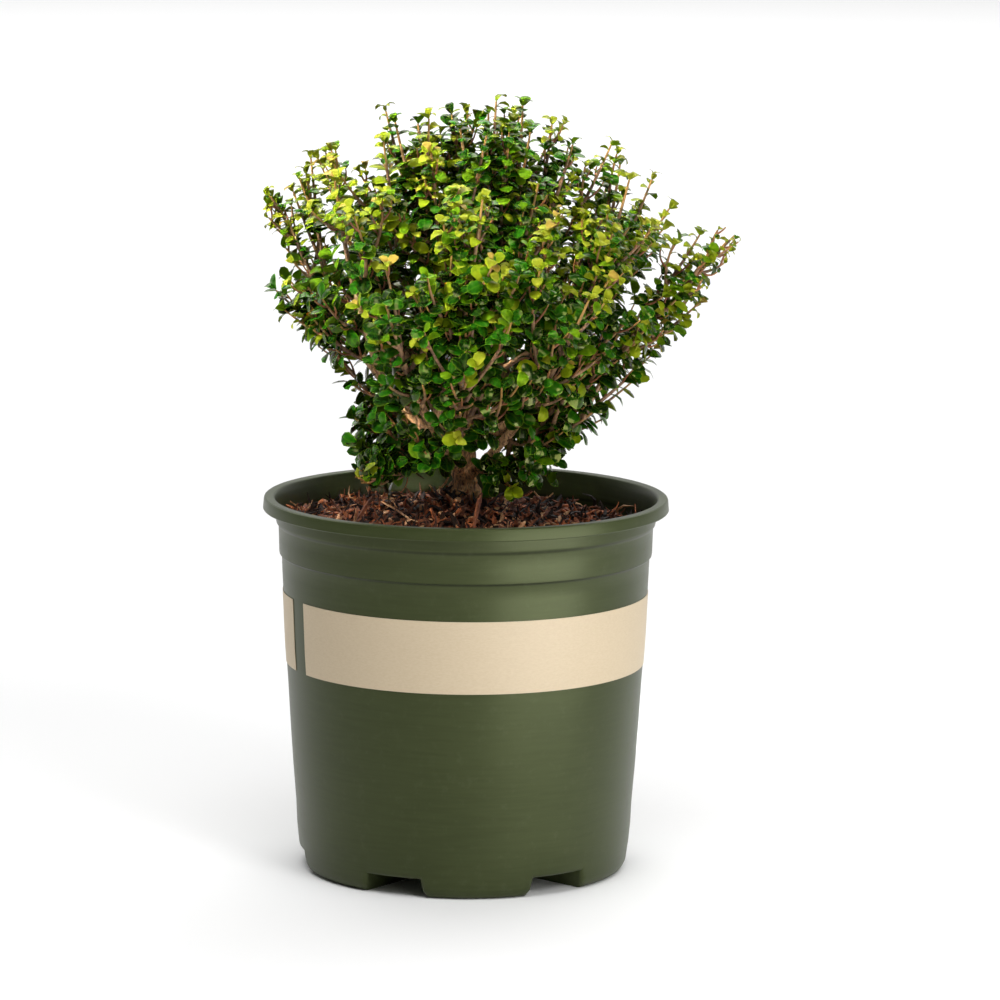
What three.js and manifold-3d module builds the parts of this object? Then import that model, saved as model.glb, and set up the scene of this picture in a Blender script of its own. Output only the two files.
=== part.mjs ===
// A potted cotoneaster: a small evergreen shrub with a short forked trunk, growing in bark mulch
// in a round nursery pot of thin moulded plastic.
// Millimetres, +Z up. The origin is on the pot's axis, in the plane that the pot's feet stand on.
// The front, from which the shrub is usually seen, is towards -Y.
// Bearings are degrees from the front, positive towards +X.
import * as THREE from "three";
import { mergeVertices } from "three/addons/utils/BufferGeometryUtils.js";
import Module from "manifold-3d";

const wasm = await Module();
wasm.setup();

// The smallest gap between two solids that touch in life.
const GAP = 0.3;

// Edges shorter than this, left by cutting and joining, are closed up.
const SLIVER = 0.03;

// Pot: a moulded tub with a turned-over lip, two shallow steps under it, and six feet.
const POT = {
  sides: 48,
  wall: 1.8,
  height: 218,
  rimRadius: 117.5,
  rimInside: 111.2,
  lipDrop: 7,
  lipThick: 1.9,
  neckRadius: 110.4,
  neckFoot: 203,
  collarRadius: 108.9,
  collarFoot: 184.5,
  collarTaper: 0.5,
  stepRun: 1.2,
  wallTopRadius: 107.4,
  wallFootRadius: 96.4,
  footHeight: 13,
  footInset: 3.6,
  footEdge: 4.5,
  floorThick: 2,
  feet: 6,
  footBearing: 5.3,
  channelAngle: 18.5,
  hubRadius: 19,
  drainRadius: 4.5,
  drainPlace: 80,
};

// Label: one long panel wrapped round the wall, with a short gap between its ends.
const LABEL = { low: 121.3, high: 163.2, thick: 0.45, gapBearing: -64.5, gapAngle: 8.1, sides: 40 };

// Potting mix: fills the pot, and rises to a low mound of bark round the trunk.
const MIX = {
  sides: 24,
  edgeLevel: 202.5,
  edgeTilt: 2.5,
  tiltBearing: -70,
  peak: 215.5,
  moundRadius: 42,
  rings: 7,
  lump: 1.3,
  chips: 20,
  chipLength: 17,
  chipWidth: 4.2,
  chipThick: 2.4,
  seed: 5,
};

// Trunk: short, with a flared foot, cut flat where it leaves the mix.
const TRUNK = {
  foot: new THREE.Vector3(-1.5, 10, 214),
  top: new THREE.Vector3(-4, 11, 252),
  footRadius: 8.8,
  waistRadius: 5.2,
  topRadius: 4.6,
  flareShare: 0.4,
  lobes: 3,
  lobeDepth: 0.14,
  sides: 12,
  steps: 8,
};

// Crown: its axis, and its half-width at a few heights.
const CROWN = { x: 4, y: 9, seed: 41, sway: 7, bob: 8 };
const OUTLINE = new THREE.SplineCurve(
  [
    [222, 52], [240, 64], [262, 70], [286, 87], [310, 107], [335, 120],
    [365, 123], [392, 114], [414, 100], [430, 76], [443, 54], [457, 24],
  ].map(([height, halfWidth]) => new THREE.Vector2(halfWidth, height)),
);

// Boughs: six stems leave the trunk. Each has a lower and an upper side limb, and ends where its
// own foliage begins. The leader stands in the middle, with two side limbs near its top.
const STEMS = 6;
const MID = { bearing: -90, height: 352, low: 0.3, high: 0.9, radius: 3.3, tipRadius: 1.8 };
const SIDES = {
  low: { bearing: -62, height: 266, from: 0.1, radius: 2.2, tipRadius: 1.4 },
  high: { bearing: -58, height: 412, from: 0.34, radius: 2.4, tipRadius: 1.4 },
};
const LEADER = { tip: new THREE.Vector3(31, 10, 457), from: 0.96, radius: 3.2, tipRadius: 1.7 };
const TOPS = { bearings: [-70, 172], height: 440, reach: 50, from: 0.26 };
// Masses out of the usual order, as how far from the crown's axis and how high they end: a low
// spray over the mound, a raised one that leaves the trunk in view, and long shoots to both sides.
const LONG_SHOOTS = {
  low_1: { reach: 70, height: 234 },
  low_2: { reach: 94, height: 302 },
  mid_1: { reach: 117, height: 392 },
  mid_4: { reach: 149, height: 373 },
};
const LIMB_SHARE = 0.5;
const LIMB_SAG = 0.08;

// Foliage: twigs leave a stem by the golden angle, and leaves stand on them in two ranks.
const TWIGS = {
  count: 6,
  length: 66,
  angle: 54,
  lift: 0.3,
  radius: 1.0,
  tipRadius: 0.6,
  stemRadius: 1.25,
  first: 0.12,
  last: 0.84,
  margin: 9,
};
const LEAF = { length: 26, width: 19, thick: 1.6, angle: 60, droop: 0.14, cup: 0.45, spacing: 14.5, spare: 2 };
const CORE = { detail: 1, share: 0.52, most: 26, spare: 4 };
const GOLDEN = 137.508;

const UP = new THREE.Vector3(0, 0, 1);
const radians = THREE.MathUtils.degToRad;

// A small generator of even random numbers, the same on every run.
function seeded(seed) {
  let state = seed >>> 0;
  return (low = 0, high = 1) => {
    state = (Math.imul(state, 1664525) + 1013904223) >>> 0;
    return low + ((high - low) * state) / 4294967296;
  };
}

// The level direction of a bearing.
function towards(bearing) {
  return new THREE.Vector3(Math.sin(radians(bearing)), -Math.cos(radians(bearing)), 0);
}

// A closed geometry as an exact solid for cutting and joining.
function solidOf(geometry) {
  const bare = new THREE.BufferGeometry().setAttribute("position", geometry.getAttribute("position"));
  if (geometry.index) bare.setIndex(geometry.index);
  const merged = mergeVertices(bare, 1e-4);
  return new wasm.Manifold(
    new wasm.Mesh({
      numProp: 3,
      vertProperties: new Float32Array(merged.attributes.position.array),
      triVerts: new Uint32Array(merged.index.array),
    }),
  );
}

// The largest body of a solid as a geometry, without loose scraps, sealed hollows and slivers.
function geometryOf(solid) {
  const bodies = solid.decompose().sort((a, b) => b.volume() - a.volume());
  const mesh = bodies[0].simplify(SLIVER).getMesh();
  const geometry = new THREE.BufferGeometry();
  geometry.setAttribute("position", new THREE.BufferAttribute(new Float32Array(mesh.vertProperties), 3));
  geometry.setIndex(new THREE.BufferAttribute(new Uint32Array(mesh.triVerts), 1));
  geometry.computeVertexNormals();
  return geometry;
}

// Whether every edge still joins just two faces with the corners rounded to a micrometre.
function staysClosed(geometry) {
  const places = geometry.getAttribute("position");
  const corner = (i) => [places.getX(i), places.getY(i), places.getZ(i)].map((c) => c.toFixed(3)).join();
  const uses = new Map();
  for (let i = 0; i < geometry.index.count; i += 3) {
    const face = [0, 1, 2].map((k) => corner(geometry.index.getX(i + k)));
    if (new Set(face).size < 3) continue;
    for (let k = 0; k < 3; k++) {
      const edge = [face[k], face[(k + 1) % 3]].sort().join(" ");
      uses.set(edge, (uses.get(edge) ?? 0) + 1);
    }
  }
  return [...uses.values()].every((count) => count === 2);
}

// A lathe turned about +Z instead of +Y, from points of radius and height.
function turned(points, sides) {
  const profile = points.map(([radius, height]) => new THREE.Vector2(radius, height));
  return new THREE.LatheGeometry(profile, sides).rotateX(Math.PI / 2);
}

// A closed cylinder bent along a curve, with a radius for each share of its length.
function limb(curve, radiusAt, sides, steps) {
  const geometry = new THREE.CylinderGeometry(1, 1, 1, sides, steps);
  const frames = curve.computeFrenetFrames(steps, false);
  const places = geometry.getAttribute("position");
  for (let i = 0; i < places.count; i++) {
    const share = places.getY(i) + 0.5;
    const step = Math.round(share * steps);
    const radius = radiusAt(share, Math.atan2(places.getX(i), places.getZ(i)));
    const point = curve
      .getPointAt(share)
      .addScaledVector(frames.normals[step], places.getX(i) * radius)
      .addScaledVector(frames.binormals[step], -places.getZ(i) * radius);
    places.setXYZ(i, point.x, point.y, point.z);
  }
  return geometry;
}

function tapering(from, to) {
  return (share) => from + (to - from) * share;
}

// Pot
function wallRadius(height) {
  const share = (height - POT.footHeight) / (POT.collarFoot - POT.footHeight);
  return POT.wallFootRadius + (POT.wallTopRadius - POT.wallFootRadius) * share;
}

function potProfile() {
  const p = POT;
  const lipFoot = p.height - p.lipDrop;
  const underLip = p.height - p.lipThick;
  const floor = p.footHeight + p.floorThick;
  return [
    [0, 0],
    [p.wallFootRadius - p.footInset, 0],
    [p.wallFootRadius - 1, p.footEdge],
    [p.wallFootRadius, p.footHeight],
    [p.wallTopRadius, p.collarFoot],
    [p.collarRadius - p.collarTaper, p.collarFoot + p.stepRun],
    [p.collarRadius, p.neckFoot - p.stepRun],
    [p.neckRadius, p.neckFoot],
    [p.neckRadius + 0.3, lipFoot - 1],
    [p.rimInside + 1.4, underLip],
    [p.rimRadius - p.lipThick, underLip],
    [p.rimRadius - p.lipThick + 0.4, lipFoot],
    [p.rimRadius + 0.4, lipFoot],
    [p.rimRadius, p.height - 0.8],
    [p.rimRadius - 0.8, p.height],
    [p.rimInside + 0.8, p.height],
    [p.rimInside, p.height - 0.8],
    [p.neckRadius - p.wall, lipFoot - 3],
    [p.neckRadius - p.wall, p.neckFoot + 0.6],
    [p.collarRadius - p.wall, p.neckFoot - p.stepRun],
    [p.collarRadius - p.collarTaper - p.wall, p.collarFoot + p.stepRun],
    [p.wallTopRadius - p.wall, p.collarFoot],
    [wallRadius(floor) - p.wall, floor],
    [0, floor],
  ];
}

// One channel between two feet: a wedge whose sides lean out towards the ground.
function footChannel(bearing) {
  const half = radians(POT.channelAngle) / 2;
  const outer = POT.rimRadius;
  const shape = new THREE.Shape();
  shape.absarc(0, 0, outer, -half, half, false);
  shape.absarc(0, 0, POT.hubRadius, half, -half, true);
  const geometry = new THREE.ExtrudeGeometry(shape, {
    depth: POT.footHeight + 1,
    steps: 4,
    bevelEnabled: false,
    curveSegments: 2,
  });
  const places = geometry.getAttribute("position");
  const middle = radians(bearing - 90);
  for (let i = 0; i < places.count; i++) {
    const radius = Math.hypot(places.getX(i), places.getY(i));
    const height = places.getZ(i) - 1;
    const share = height / POT.footHeight;
    const widen = 1 + 0.3 * Math.max(0, 0.3 - share) - 0.5 * Math.max(0, share - 0.75);
    const angle = middle + Math.atan2(places.getY(i), places.getX(i)) * widen;
    places.setXYZ(i, radius * Math.cos(angle), radius * Math.sin(angle), height);
  }
  return geometry;
}

function potSolid() {
  let pot = solidOf(turned(potProfile(), POT.sides));
  for (let i = 0; i < POT.feet; i++) {
    const bearing = POT.footBearing + (360 / POT.feet) * (i + 0.5);
    pot = pot.subtract(solidOf(footChannel(bearing)));
    const drain = new THREE.CylinderGeometry(POT.drainRadius, POT.drainRadius, 4 * POT.floorThick, 10)
      .rotateX(Math.PI / 2)
      .translate(0, -POT.drainPlace, POT.footHeight + POT.floorThick)
      .rotateZ(radians(bearing));
    pot = pot.subtract(solidOf(drain));
  }
  return pot;
}

// Label: an arc of thin sheet that follows the wall's taper.
function labelGeometry() {
  const half = radians(360 - LABEL.gapAngle) / 2;
  const flat = new THREE.BoxGeometry(1, 1, 1, LABEL.sides, 1, 1);
  const places = flat.getAttribute("position");
  for (let i = 0; i < places.count; i++) {
    const height = LABEL.low + (LABEL.high - LABEL.low) * (places.getZ(i) + 0.5);
    const inside = (wallRadius(height) + GAP) / Math.cos(half / LABEL.sides);
    const radius = inside + LABEL.thick * (0.5 - places.getY(i));
    const angle = radians(LABEL.gapBearing + 90) + 2 * half * places.getX(i);
    places.setXYZ(i, radius * Math.cos(angle), radius * Math.sin(angle), height);
  }
  return flat;
}

// Potting mix
function mixLevel(x, y) {
  const bearing = Math.atan2(x, -y);
  const outward = Math.min(1, Math.hypot(x, y) / POT.wallTopRadius);
  const edge = MIX.edgeLevel + MIX.edgeTilt * outward * Math.cos(bearing - radians(MIX.tiltBearing));
  const away = Math.hypot(x - TRUNK.foot.x, y - TRUNK.foot.y) / MIX.moundRadius;
  const rise = THREE.MathUtils.smoothstep(1 - away, 0, 1);
  const lumps = Math.sin(x * 0.19 + 1.3) * Math.cos(y * 0.23) + Math.sin(x * 0.37 - y * 0.31);
  return edge + (MIX.peak - edge) * rise + MIX.lump * 0.5 * lumps;
}

function chipOnMix(random) {
  const reach = 14 + 80 * Math.sqrt(random());
  const where = towards(random(0, 360)).multiplyScalar(reach);
  const length = MIX.chipLength * random(0.6, 1.3);
  const chip = new THREE.BoxGeometry(length, MIX.chipWidth * random(0.6, 1.2), MIX.chipThick)
    .rotateY(radians(random(-24, 24)))
    .rotateX(radians(random(-30, 30)))
    .rotateZ(radians(random(0, 180)));
  return chip.translate(where.x, where.y, mixLevel(where.x, where.y) + 0.5);
}

function mixSolid() {
  const floor = POT.footHeight + POT.floorThick + GAP;
  const inset = POT.wall + 1.6 * GAP;
  const brim = POT.collarRadius - POT.collarTaper - inset;
  const profile = [
    [0, floor],
    [wallRadius(floor) - inset, floor],
    [POT.wallTopRadius - inset, POT.collarFoot - 1],
    [brim, POT.collarFoot + 2 * POT.stepRun],
  ];
  for (let i = MIX.rings; i >= 0; i--) profile.push([(brim * i) / MIX.rings, POT.height]);
  const geometry = turned(profile, MIX.sides);
  const places = geometry.getAttribute("position");
  for (let i = 0; i < places.count; i++)
    if (places.getZ(i) > POT.height - 1) places.setZ(i, mixLevel(places.getX(i), places.getY(i)));
  const random = seeded(MIX.seed);
  const parts = [solidOf(geometry)];
  const bore = solidOf(turned([[0, 100], [brim - 1, 100], [brim - 1, 260], [0, 260]], MIX.sides));
  for (let i = 0; i < MIX.chips; i++) parts.push(solidOf(chipOnMix(random)).intersect(bore));
  // The trunk's foot stands in a shallow seat.
  const seatRadius = TRUNK.footRadius * (1 + TRUNK.lobeDepth) + 2 * GAP;
  const seat = new THREE.CylinderGeometry(seatRadius, seatRadius, 40, 24)
    .rotateX(Math.PI / 2)
    .translate(TRUNK.foot.x, TRUNK.foot.y, TRUNK.foot.z - GAP + 20);
  return wasm.Manifold.union(parts).subtract(solidOf(seat));
}

// Limbs
function trunkCurve() {
  const above = TRUNK.foot.clone().addScaledVector(UP, 0.45 * (TRUNK.top.z - TRUNK.foot.z));
  return new THREE.QuadraticBezierCurve3(TRUNK.foot, above, TRUNK.top);
}

function trunkRadius(extra = 0) {
  return (share, around = 0) => {
    const flare = Math.max(0, 1 - share / TRUNK.flareShare) ** 2;
    const lobe = 1 + TRUNK.lobeDepth * flare * Math.cos(TRUNK.lobes * around);
    const shaft = TRUNK.waistRadius + (TRUNK.topRadius - TRUNK.waistRadius) * share;
    return (shaft + (TRUNK.footRadius - TRUNK.waistRadius) * flare) * lobe + extra;
  };
}

// The crown's half-width at a height.
function halfWidth(height) {
  let low = 0;
  let high = 1;
  for (let i = 0; i < 24; i++) {
    const middle = (low + high) / 2;
    if (OUTLINE.getPoint(middle).y < height) low = middle;
    else high = middle;
  }
  return OUTLINE.getPoint(low).x;
}

function onOutline(bearing, height, reach = halfWidth(height)) {
  return towards(bearing)
    .multiplyScalar(reach)
    .add(new THREE.Vector3(CROWN.x, CROWN.y, height));
}

// The whole line of a bough and its foliage's stem: it sags out first, and then rises.
function boughLine(start, tip) {
  const length = start.distanceTo(tip);
  const outward = new THREE.Vector3(tip.x - start.x, tip.y - start.y, 0);
  if (outward.length() > 1) outward.normalize();
  const middle = start.clone().lerp(tip, 0.5);
  middle.addScaledVector(outward, LIMB_SAG * length).addScaledVector(UP, -LIMB_SAG * length);
  return new THREE.QuadraticBezierCurve3(start, middle, tip);
}

// One stretch of a curve, from share a to share b.
function stretch(curve, a, b) {
  const points = [];
  for (let i = 0; i <= 6; i++) points.push(curve.getPointAt(a + ((b - a) * i) / 6));
  return new THREE.CatmullRomCurve3(points);
}

// Every limb in the order that it grows, under the name of the foliage that it carries.
function planLimbs() {
  const random = seeded(CROWN.seed);
  const trunk = trunkCurve();
  const limbs = [];
  const add = (name, start, tip, { radius, tipRadius }) => {
    const line = boughLine(start, tip);
    limbs.push({ name, line, radius, tipRadius, limb: stretch(line, 0, LIMB_SHARE) });
  };
  const tipOf = (name, i, kind) => {
    const bearing = kind.bearing + (360 / STEMS) * i + random(-1, 1) * CROWN.sway;
    const height = kind.height + random(-1, 1) * CROWN.bob;
    const shoot = LONG_SHOOTS[name];
    return shoot ? onOutline(bearing, shoot.height, shoot.reach) : onOutline(bearing, height);
  };
  for (let i = 0; i < STEMS; i++) {
    const name = "mid_" + (i + 1);
    const start = trunk.getPointAt(MID.low + ((MID.high - MID.low) * ((i * 5 + 2) % STEMS)) / STEMS);
    add(name, start, tipOf(name, i, MID), MID);
  }
  for (const [tier, side] of Object.entries(SIDES))
    for (let i = 0; i < STEMS; i++) {
      const name = tier + "_" + (i + 1);
      add(name, limbs[i].limb.getPointAt(side.from / LIMB_SHARE), tipOf(name, i, side), side);
    }
  add("leader", trunk.getPointAt(LEADER.from), LEADER.tip, LEADER);
  const fork = limbs[limbs.length - 1].limb.getPointAt(TOPS.from / LIMB_SHARE);
  TOPS.bearings.forEach((bearing, i) => {
    add("top_" + (i + 1), fork, onOutline(bearing, TOPS.height, TOPS.reach), SIDES.high);
  });
  return limbs;
}

// Foliage
// A thin eight-faced leaf, with its root at the origin and its tip along +X.
function leafGeometry(length) {
  const width = (LEAF.width * length) / LEAF.length;
  const leaf = new THREE.OctahedronGeometry(1, 0).scale(length / 2, width / 2, LEAF.thick / 2);
  leaf.translate(length / 2, 0, 0);
  const places = leaf.getAttribute("position");
  for (let i = 0; i < places.count; i++) {
    const side = Math.abs(places.getY(i)) > 0.1 ? 1 : 0;
    const tip = places.getX(i) > 0.9 * length ? 1 : 0;
    const ridge = Math.abs(places.getZ(i)) > 0.1 ? 1 : 0;
    places.setX(i, places.getX(i) + length * (0.08 * side - 0.14 * ridge));
    places.setZ(i, places.getZ(i) - LEAF.droop * length * (LEAF.cup * side + tip));
  }
  return leaf;
}

// A frame at a share of a curve: along it, and a level-ish pair across it, turned by an angle.
function acrossAt(curve, share, turn) {
  const along = curve.getTangentAt(share);
  const level = new THREE.Vector3().crossVectors(along, UP);
  if (level.length() < 0.05) level.set(1, 0, 0);
  level.normalize();
  return { along, across: level.applyAxisAngle(along, radians(turn)) };
}

// One twig that leaves a stem at a share of its length, as long as its space allows.
function twigFrom(stem, share, turn, random, inSpace) {
  const { along, across } = acrossAt(stem, share, turn);
  const start = stem.getPointAt(share);
  const angle = radians(TWIGS.angle * random(0.8, 1.2));
  const way = along.multiplyScalar(Math.cos(angle)).addScaledVector(across, Math.sin(angle));
  for (let length = TWIGS.length * random(0.85, 1.1); length > 14; length *= 0.86) {
    const middle = start.clone().addScaledVector(way, 0.5 * length);
    const end = start.clone().addScaledVector(way, length).addScaledVector(UP, TWIGS.lift * length * 0.5);
    const curve = new THREE.QuadraticBezierCurve3(start, middle, end);
    if (inSpace(end, TWIGS.margin, TWIGS.margin) && [0.3, 0.55, 0.8].every((s) => inSpace(curve.getPointAt(s), 1.6))) return curve;
  }
  return null;
}

// A leaf's frame on a shoot: it leans out across the shoot by an angle, upper face to the shoot's tip.
function leafFrame(curve, share, turn, angle) {
  const { along, across } = acrossAt(curve, Math.min(share, 0.98), turn);
  const way = along.clone().multiplyScalar(Math.cos(angle)).addScaledVector(across, Math.sin(angle));
  const face = along.multiplyScalar(Math.sin(angle)).addScaledVector(across, -Math.cos(angle));
  const side = new THREE.Vector3().crossVectors(face, way).normalize();
  return new THREE.Matrix4().makeBasis(way, side, face).setPosition(curve.getPointAt(Math.min(share, 0.985)));
}

// The leaves of a shoot, in two ranks. One that doesn't fit folds up along the shoot, or is left out.
function leavesOn({ curve, first }, random, fits) {
  const count = Math.max(2, Math.round((curve.getLength() * (1 - first)) / LEAF.spacing));
  const rank = random(0, 360);
  const leaves = [];
  for (let i = 0; i <= count; i++) {
    const share = first + ((1 - first) * i) / count;
    const turn = rank + 180 * (i % 2) + random(-35, 35);
    const angle = radians(LEAF.angle * random(0.8, 1.15));
    const size = LEAF.length * random(0.88, 1.12);
    for (const fold of i === count ? [0.2, 0.6] : [1, 0.6, 0.25]) {
      const matrix = leafFrame(curve, share, turn, angle * fold);
      if (!fits(matrix, size * (0.8 + 0.2 * fold))) continue;
      leaves.push(leafGeometry(size * (0.8 + 0.2 * fold)).applyMatrix4(matrix));
      break;
    }
  }
  return leaves;
}

// The space that one tuft may fill: nearer to its own middle than to any other tuft's, inside the
// crown's outline, above the mix and clear of the limbs.
function spaceOf(tuft, tufts, limbs) {
  const rivals = tufts.filter((other) => other !== tuft);
  return (point, spare, margin = 0) => {
    for (const other of rivals) {
      const apart = other.middle.distanceTo(tuft.middle);
      const between = (point.distanceToSquared(other.middle) - point.distanceToSquared(tuft.middle)) / (2 * apart);
      if (between < GAP + margin) return false;
    }
    const level = Math.hypot(point.x, point.y) > POT.rimInside - 4 ? POT.height + 2 : mixLevel(point.x, point.y) + 4;
    if (point.z < level) return false;
    const reach = Math.hypot(point.x - CROWN.x, point.y - CROWN.y);
    if (reach > Math.max(halfWidth(point.z), tuft.reach) - margin || point.z > LEADER.tip.z + 2) return false;
    for (const { points, radii } of limbs)
      for (let i = 1; i < points.length; i++) {
        const line = new THREE.Line3(points[i - 1], points[i]);
        const near = line.closestPointToPoint(point, true, new THREE.Vector3());
        if (near.distanceTo(point) < radii[i - 1] + spare) return false;
      }
    return true;
  };
}

// How far a tuft's core reaches from its middle in one direction.
function coreReach(middle, way, inSpace) {
  let reach = 0;
  while (reach < CORE.most / CORE.share && inSpace(middle.clone().addScaledVector(way, reach + 2), CORE.spare)) reach += 2;
  return Math.max(4, CORE.share * reach);
}

// The dense inside of a tuft: a lump that stays well within its space.
function coreGeometry(middle, inSpace) {
  const ball = new THREE.IcosahedronGeometry(1, CORE.detail).deleteAttribute("normal").deleteAttribute("uv");
  const lump = mergeVertices(ball, 1e-3);
  const places = lump.getAttribute("position");
  const way = new THREE.Vector3();
  for (let i = 0; i < places.count; i++) {
    way.fromBufferAttribute(places, i).normalize();
    const point = middle.clone().addScaledVector(way, coreReach(middle, way, inSpace));
    places.setXYZ(i, point.x, point.y, point.z);
  }
  return lump;
}

// The corners of a leaf as shares of its length and its width.
const LEAF_CORNERS = [[0.45, 0.35], [0.45, -0.35], [0.7, 0.3], [0.7, -0.3], [1, 0]];

function growTuft(tuft, inSpace) {
  const random = seeded(tuft.seed);
  const { stem, middle } = tuft;
  const parts = [solidOf(limb(stem, tapering(TWIGS.stemRadius, TWIGS.tipRadius), 3, 4))];
  parts.push(solidOf(coreGeometry(middle, inSpace)));
  const shoots = [{ curve: stem, first: 0.4 }];
  for (let i = 0; i < TWIGS.count; i++) {
    const share = TWIGS.first + ((TWIGS.last - TWIGS.first) * i) / (TWIGS.count - 1);
    const curve = twigFrom(stem, share, tuft.turn + GOLDEN * i, random, inSpace);
    if (!curve) continue;
    parts.push(solidOf(limb(curve, tapering(TWIGS.radius, TWIGS.tipRadius), 3, 2)));
    shoots.push({ curve, first: 0.35 });
  }
  const fits = (matrix, size) => {
    const corners = LEAF_CORNERS.map(([u, v]) =>
      new THREE.Vector3(u * size, (v * size * LEAF.width) / LEAF.length, -LEAF.droop * size * u).applyMatrix4(matrix),
    );
    const out = corners[corners.length - 1].clone().sub(middle);
    if (out.length() < coreReach(middle, out.clone().normalize(), inSpace) + 5) return false;
    return corners.every((point) => inSpace(point, LEAF.spare));
  };
  for (const shoot of shoots) for (const leaf of leavesOn(shoot, random, fits)) parts.push(solidOf(leaf));
  return wasm.Manifold.union(parts);
}

// Materials
function finish(colour, roughness) {
  return new THREE.MeshStandardMaterial({ color: colour, roughness, metalness: 0 });
}
const plastic = finish(0x46532f, 0.5);
const film = finish(0xd6c8ae, 0.6);
const bark = finish(0x7d5f47, 0.85);
const mulch = finish(0x4a2a1c, 0.95);
const foliage = finish(0x35702a, 0.4);

const plant = new THREE.Group();
function place(name, solid, material) {
  const mesh = new THREE.Mesh(solid instanceof THREE.BufferGeometry ? solid : geometryOf(solid), material);
  mesh.name = name;
  plant.add(mesh);
}

place("pot", potSolid(), plastic);
place("label_band", labelGeometry(), film);
place("potting_mix", mixSolid(), mulch);

// Each limb is cut clear of those that grew before it.
const trunkLine = trunkCurve();
const trunkShape = (extra) => solidOf(limb(trunkLine, trunkRadius(extra), TRUNK.sides, TRUNK.steps));
place("trunk", trunkShape(0), bark);
const grown = [trunkShape(1.3 * GAP)];
const limbs = planLimbs();
for (const { name, limb: line, radius, tipRadius } of limbs) {
  const shape = (extra) => solidOf(limb(line, tapering(radius + extra, tipRadius + extra), 6, 5));
  let bough = shape(0);
  for (const other of grown) bough = bough.subtract(other);
  place("bough_" + name, bough, bark);
  grown.push(shape(1.3 * GAP));
}

// A limb's axis and radii, for keeping leaves off it.
function axisOf(curve, radiusAt, steps) {
  const shares = Array.from({ length: steps + 1 }, (_, i) => i / steps);
  return { points: shares.map((s) => curve.getPointAt(s)), radii: shares.map((s) => radiusAt(s)) };
}
const axes = [axisOf(trunkLine, trunkRadius(0), TRUNK.steps)];
for (const { limb: line, radius, tipRadius } of limbs) axes.push(axisOf(line, tapering(radius, tipRadius), 5));

const tufts = limbs.map(({ name, line }, i) => ({
  name,
  stem: stretch(line, LIMB_SHARE + (1.5 * GAP) / line.getLength(), 0.97),
  seed: 100 + 7 * i,
  turn: 40 * i,
  reach: (LONG_SHOOTS[name]?.reach ?? -6) + 6,
}));
for (const tuft of tufts) tuft.middle = tuft.stem.getPointAt(0.55);
for (const tuft of tufts) {
  const inSpace = spaceOf(tuft, tufts, axes);
  let geometry;
  do {
    let mass = growTuft(tuft, inSpace);
    for (const other of grown) mass = mass.subtract(other);
    geometry = geometryOf(mass);
    tuft.seed += 1;
  } while (!staysClosed(geometry));
  place("foliage_" + tuft.name, geometry, foliage);
}

export default plant;
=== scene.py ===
import math

import bmesh
import bpy
import numpy as np
from mathutils import Matrix, Vector, noise


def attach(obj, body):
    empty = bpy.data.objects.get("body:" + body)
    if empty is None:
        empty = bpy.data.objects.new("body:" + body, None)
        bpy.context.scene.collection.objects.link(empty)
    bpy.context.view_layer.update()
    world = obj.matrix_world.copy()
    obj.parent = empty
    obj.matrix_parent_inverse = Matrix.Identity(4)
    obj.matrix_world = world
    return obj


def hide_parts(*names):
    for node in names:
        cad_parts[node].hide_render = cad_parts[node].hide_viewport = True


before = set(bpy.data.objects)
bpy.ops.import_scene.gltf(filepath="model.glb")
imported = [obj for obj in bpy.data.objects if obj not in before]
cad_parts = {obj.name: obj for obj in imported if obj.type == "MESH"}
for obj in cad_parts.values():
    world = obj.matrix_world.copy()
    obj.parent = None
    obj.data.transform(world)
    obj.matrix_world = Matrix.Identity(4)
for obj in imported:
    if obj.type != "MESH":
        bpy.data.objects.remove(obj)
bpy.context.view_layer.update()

# Camera
# It stands 2.94 m from the pot with a long lens, 9 degrees above level, and looks at the middle of
# the plant and its pot together. It leans by half a degree. All sizes are in millimetres.
MM = 0.001
AIM = Vector((19.7, 0, 215.7)) * MM
DISTANCE = 2937 * MM
ELEVATION = math.radians(9.28)
LEAN = math.radians(0.49)
SENSOR_WIDTH = 36
LENS = 181.9
back = Vector((0, -math.cos(ELEVATION), math.sin(ELEVATION)))
bpy.ops.object.camera_add(location=AIM + back * DISTANCE)
camera = bpy.context.object
tilt = Matrix.Rotation(math.radians(90) - ELEVATION, 4, "X")
lean = Matrix.Rotation(LEAN, 4, "Z")
camera.rotation_euler = (tilt @ lean).to_euler()
camera.data.sensor_width = SENSOR_WIDTH
camera.data.lens = LENS
bpy.context.scene.camera = camera

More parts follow.
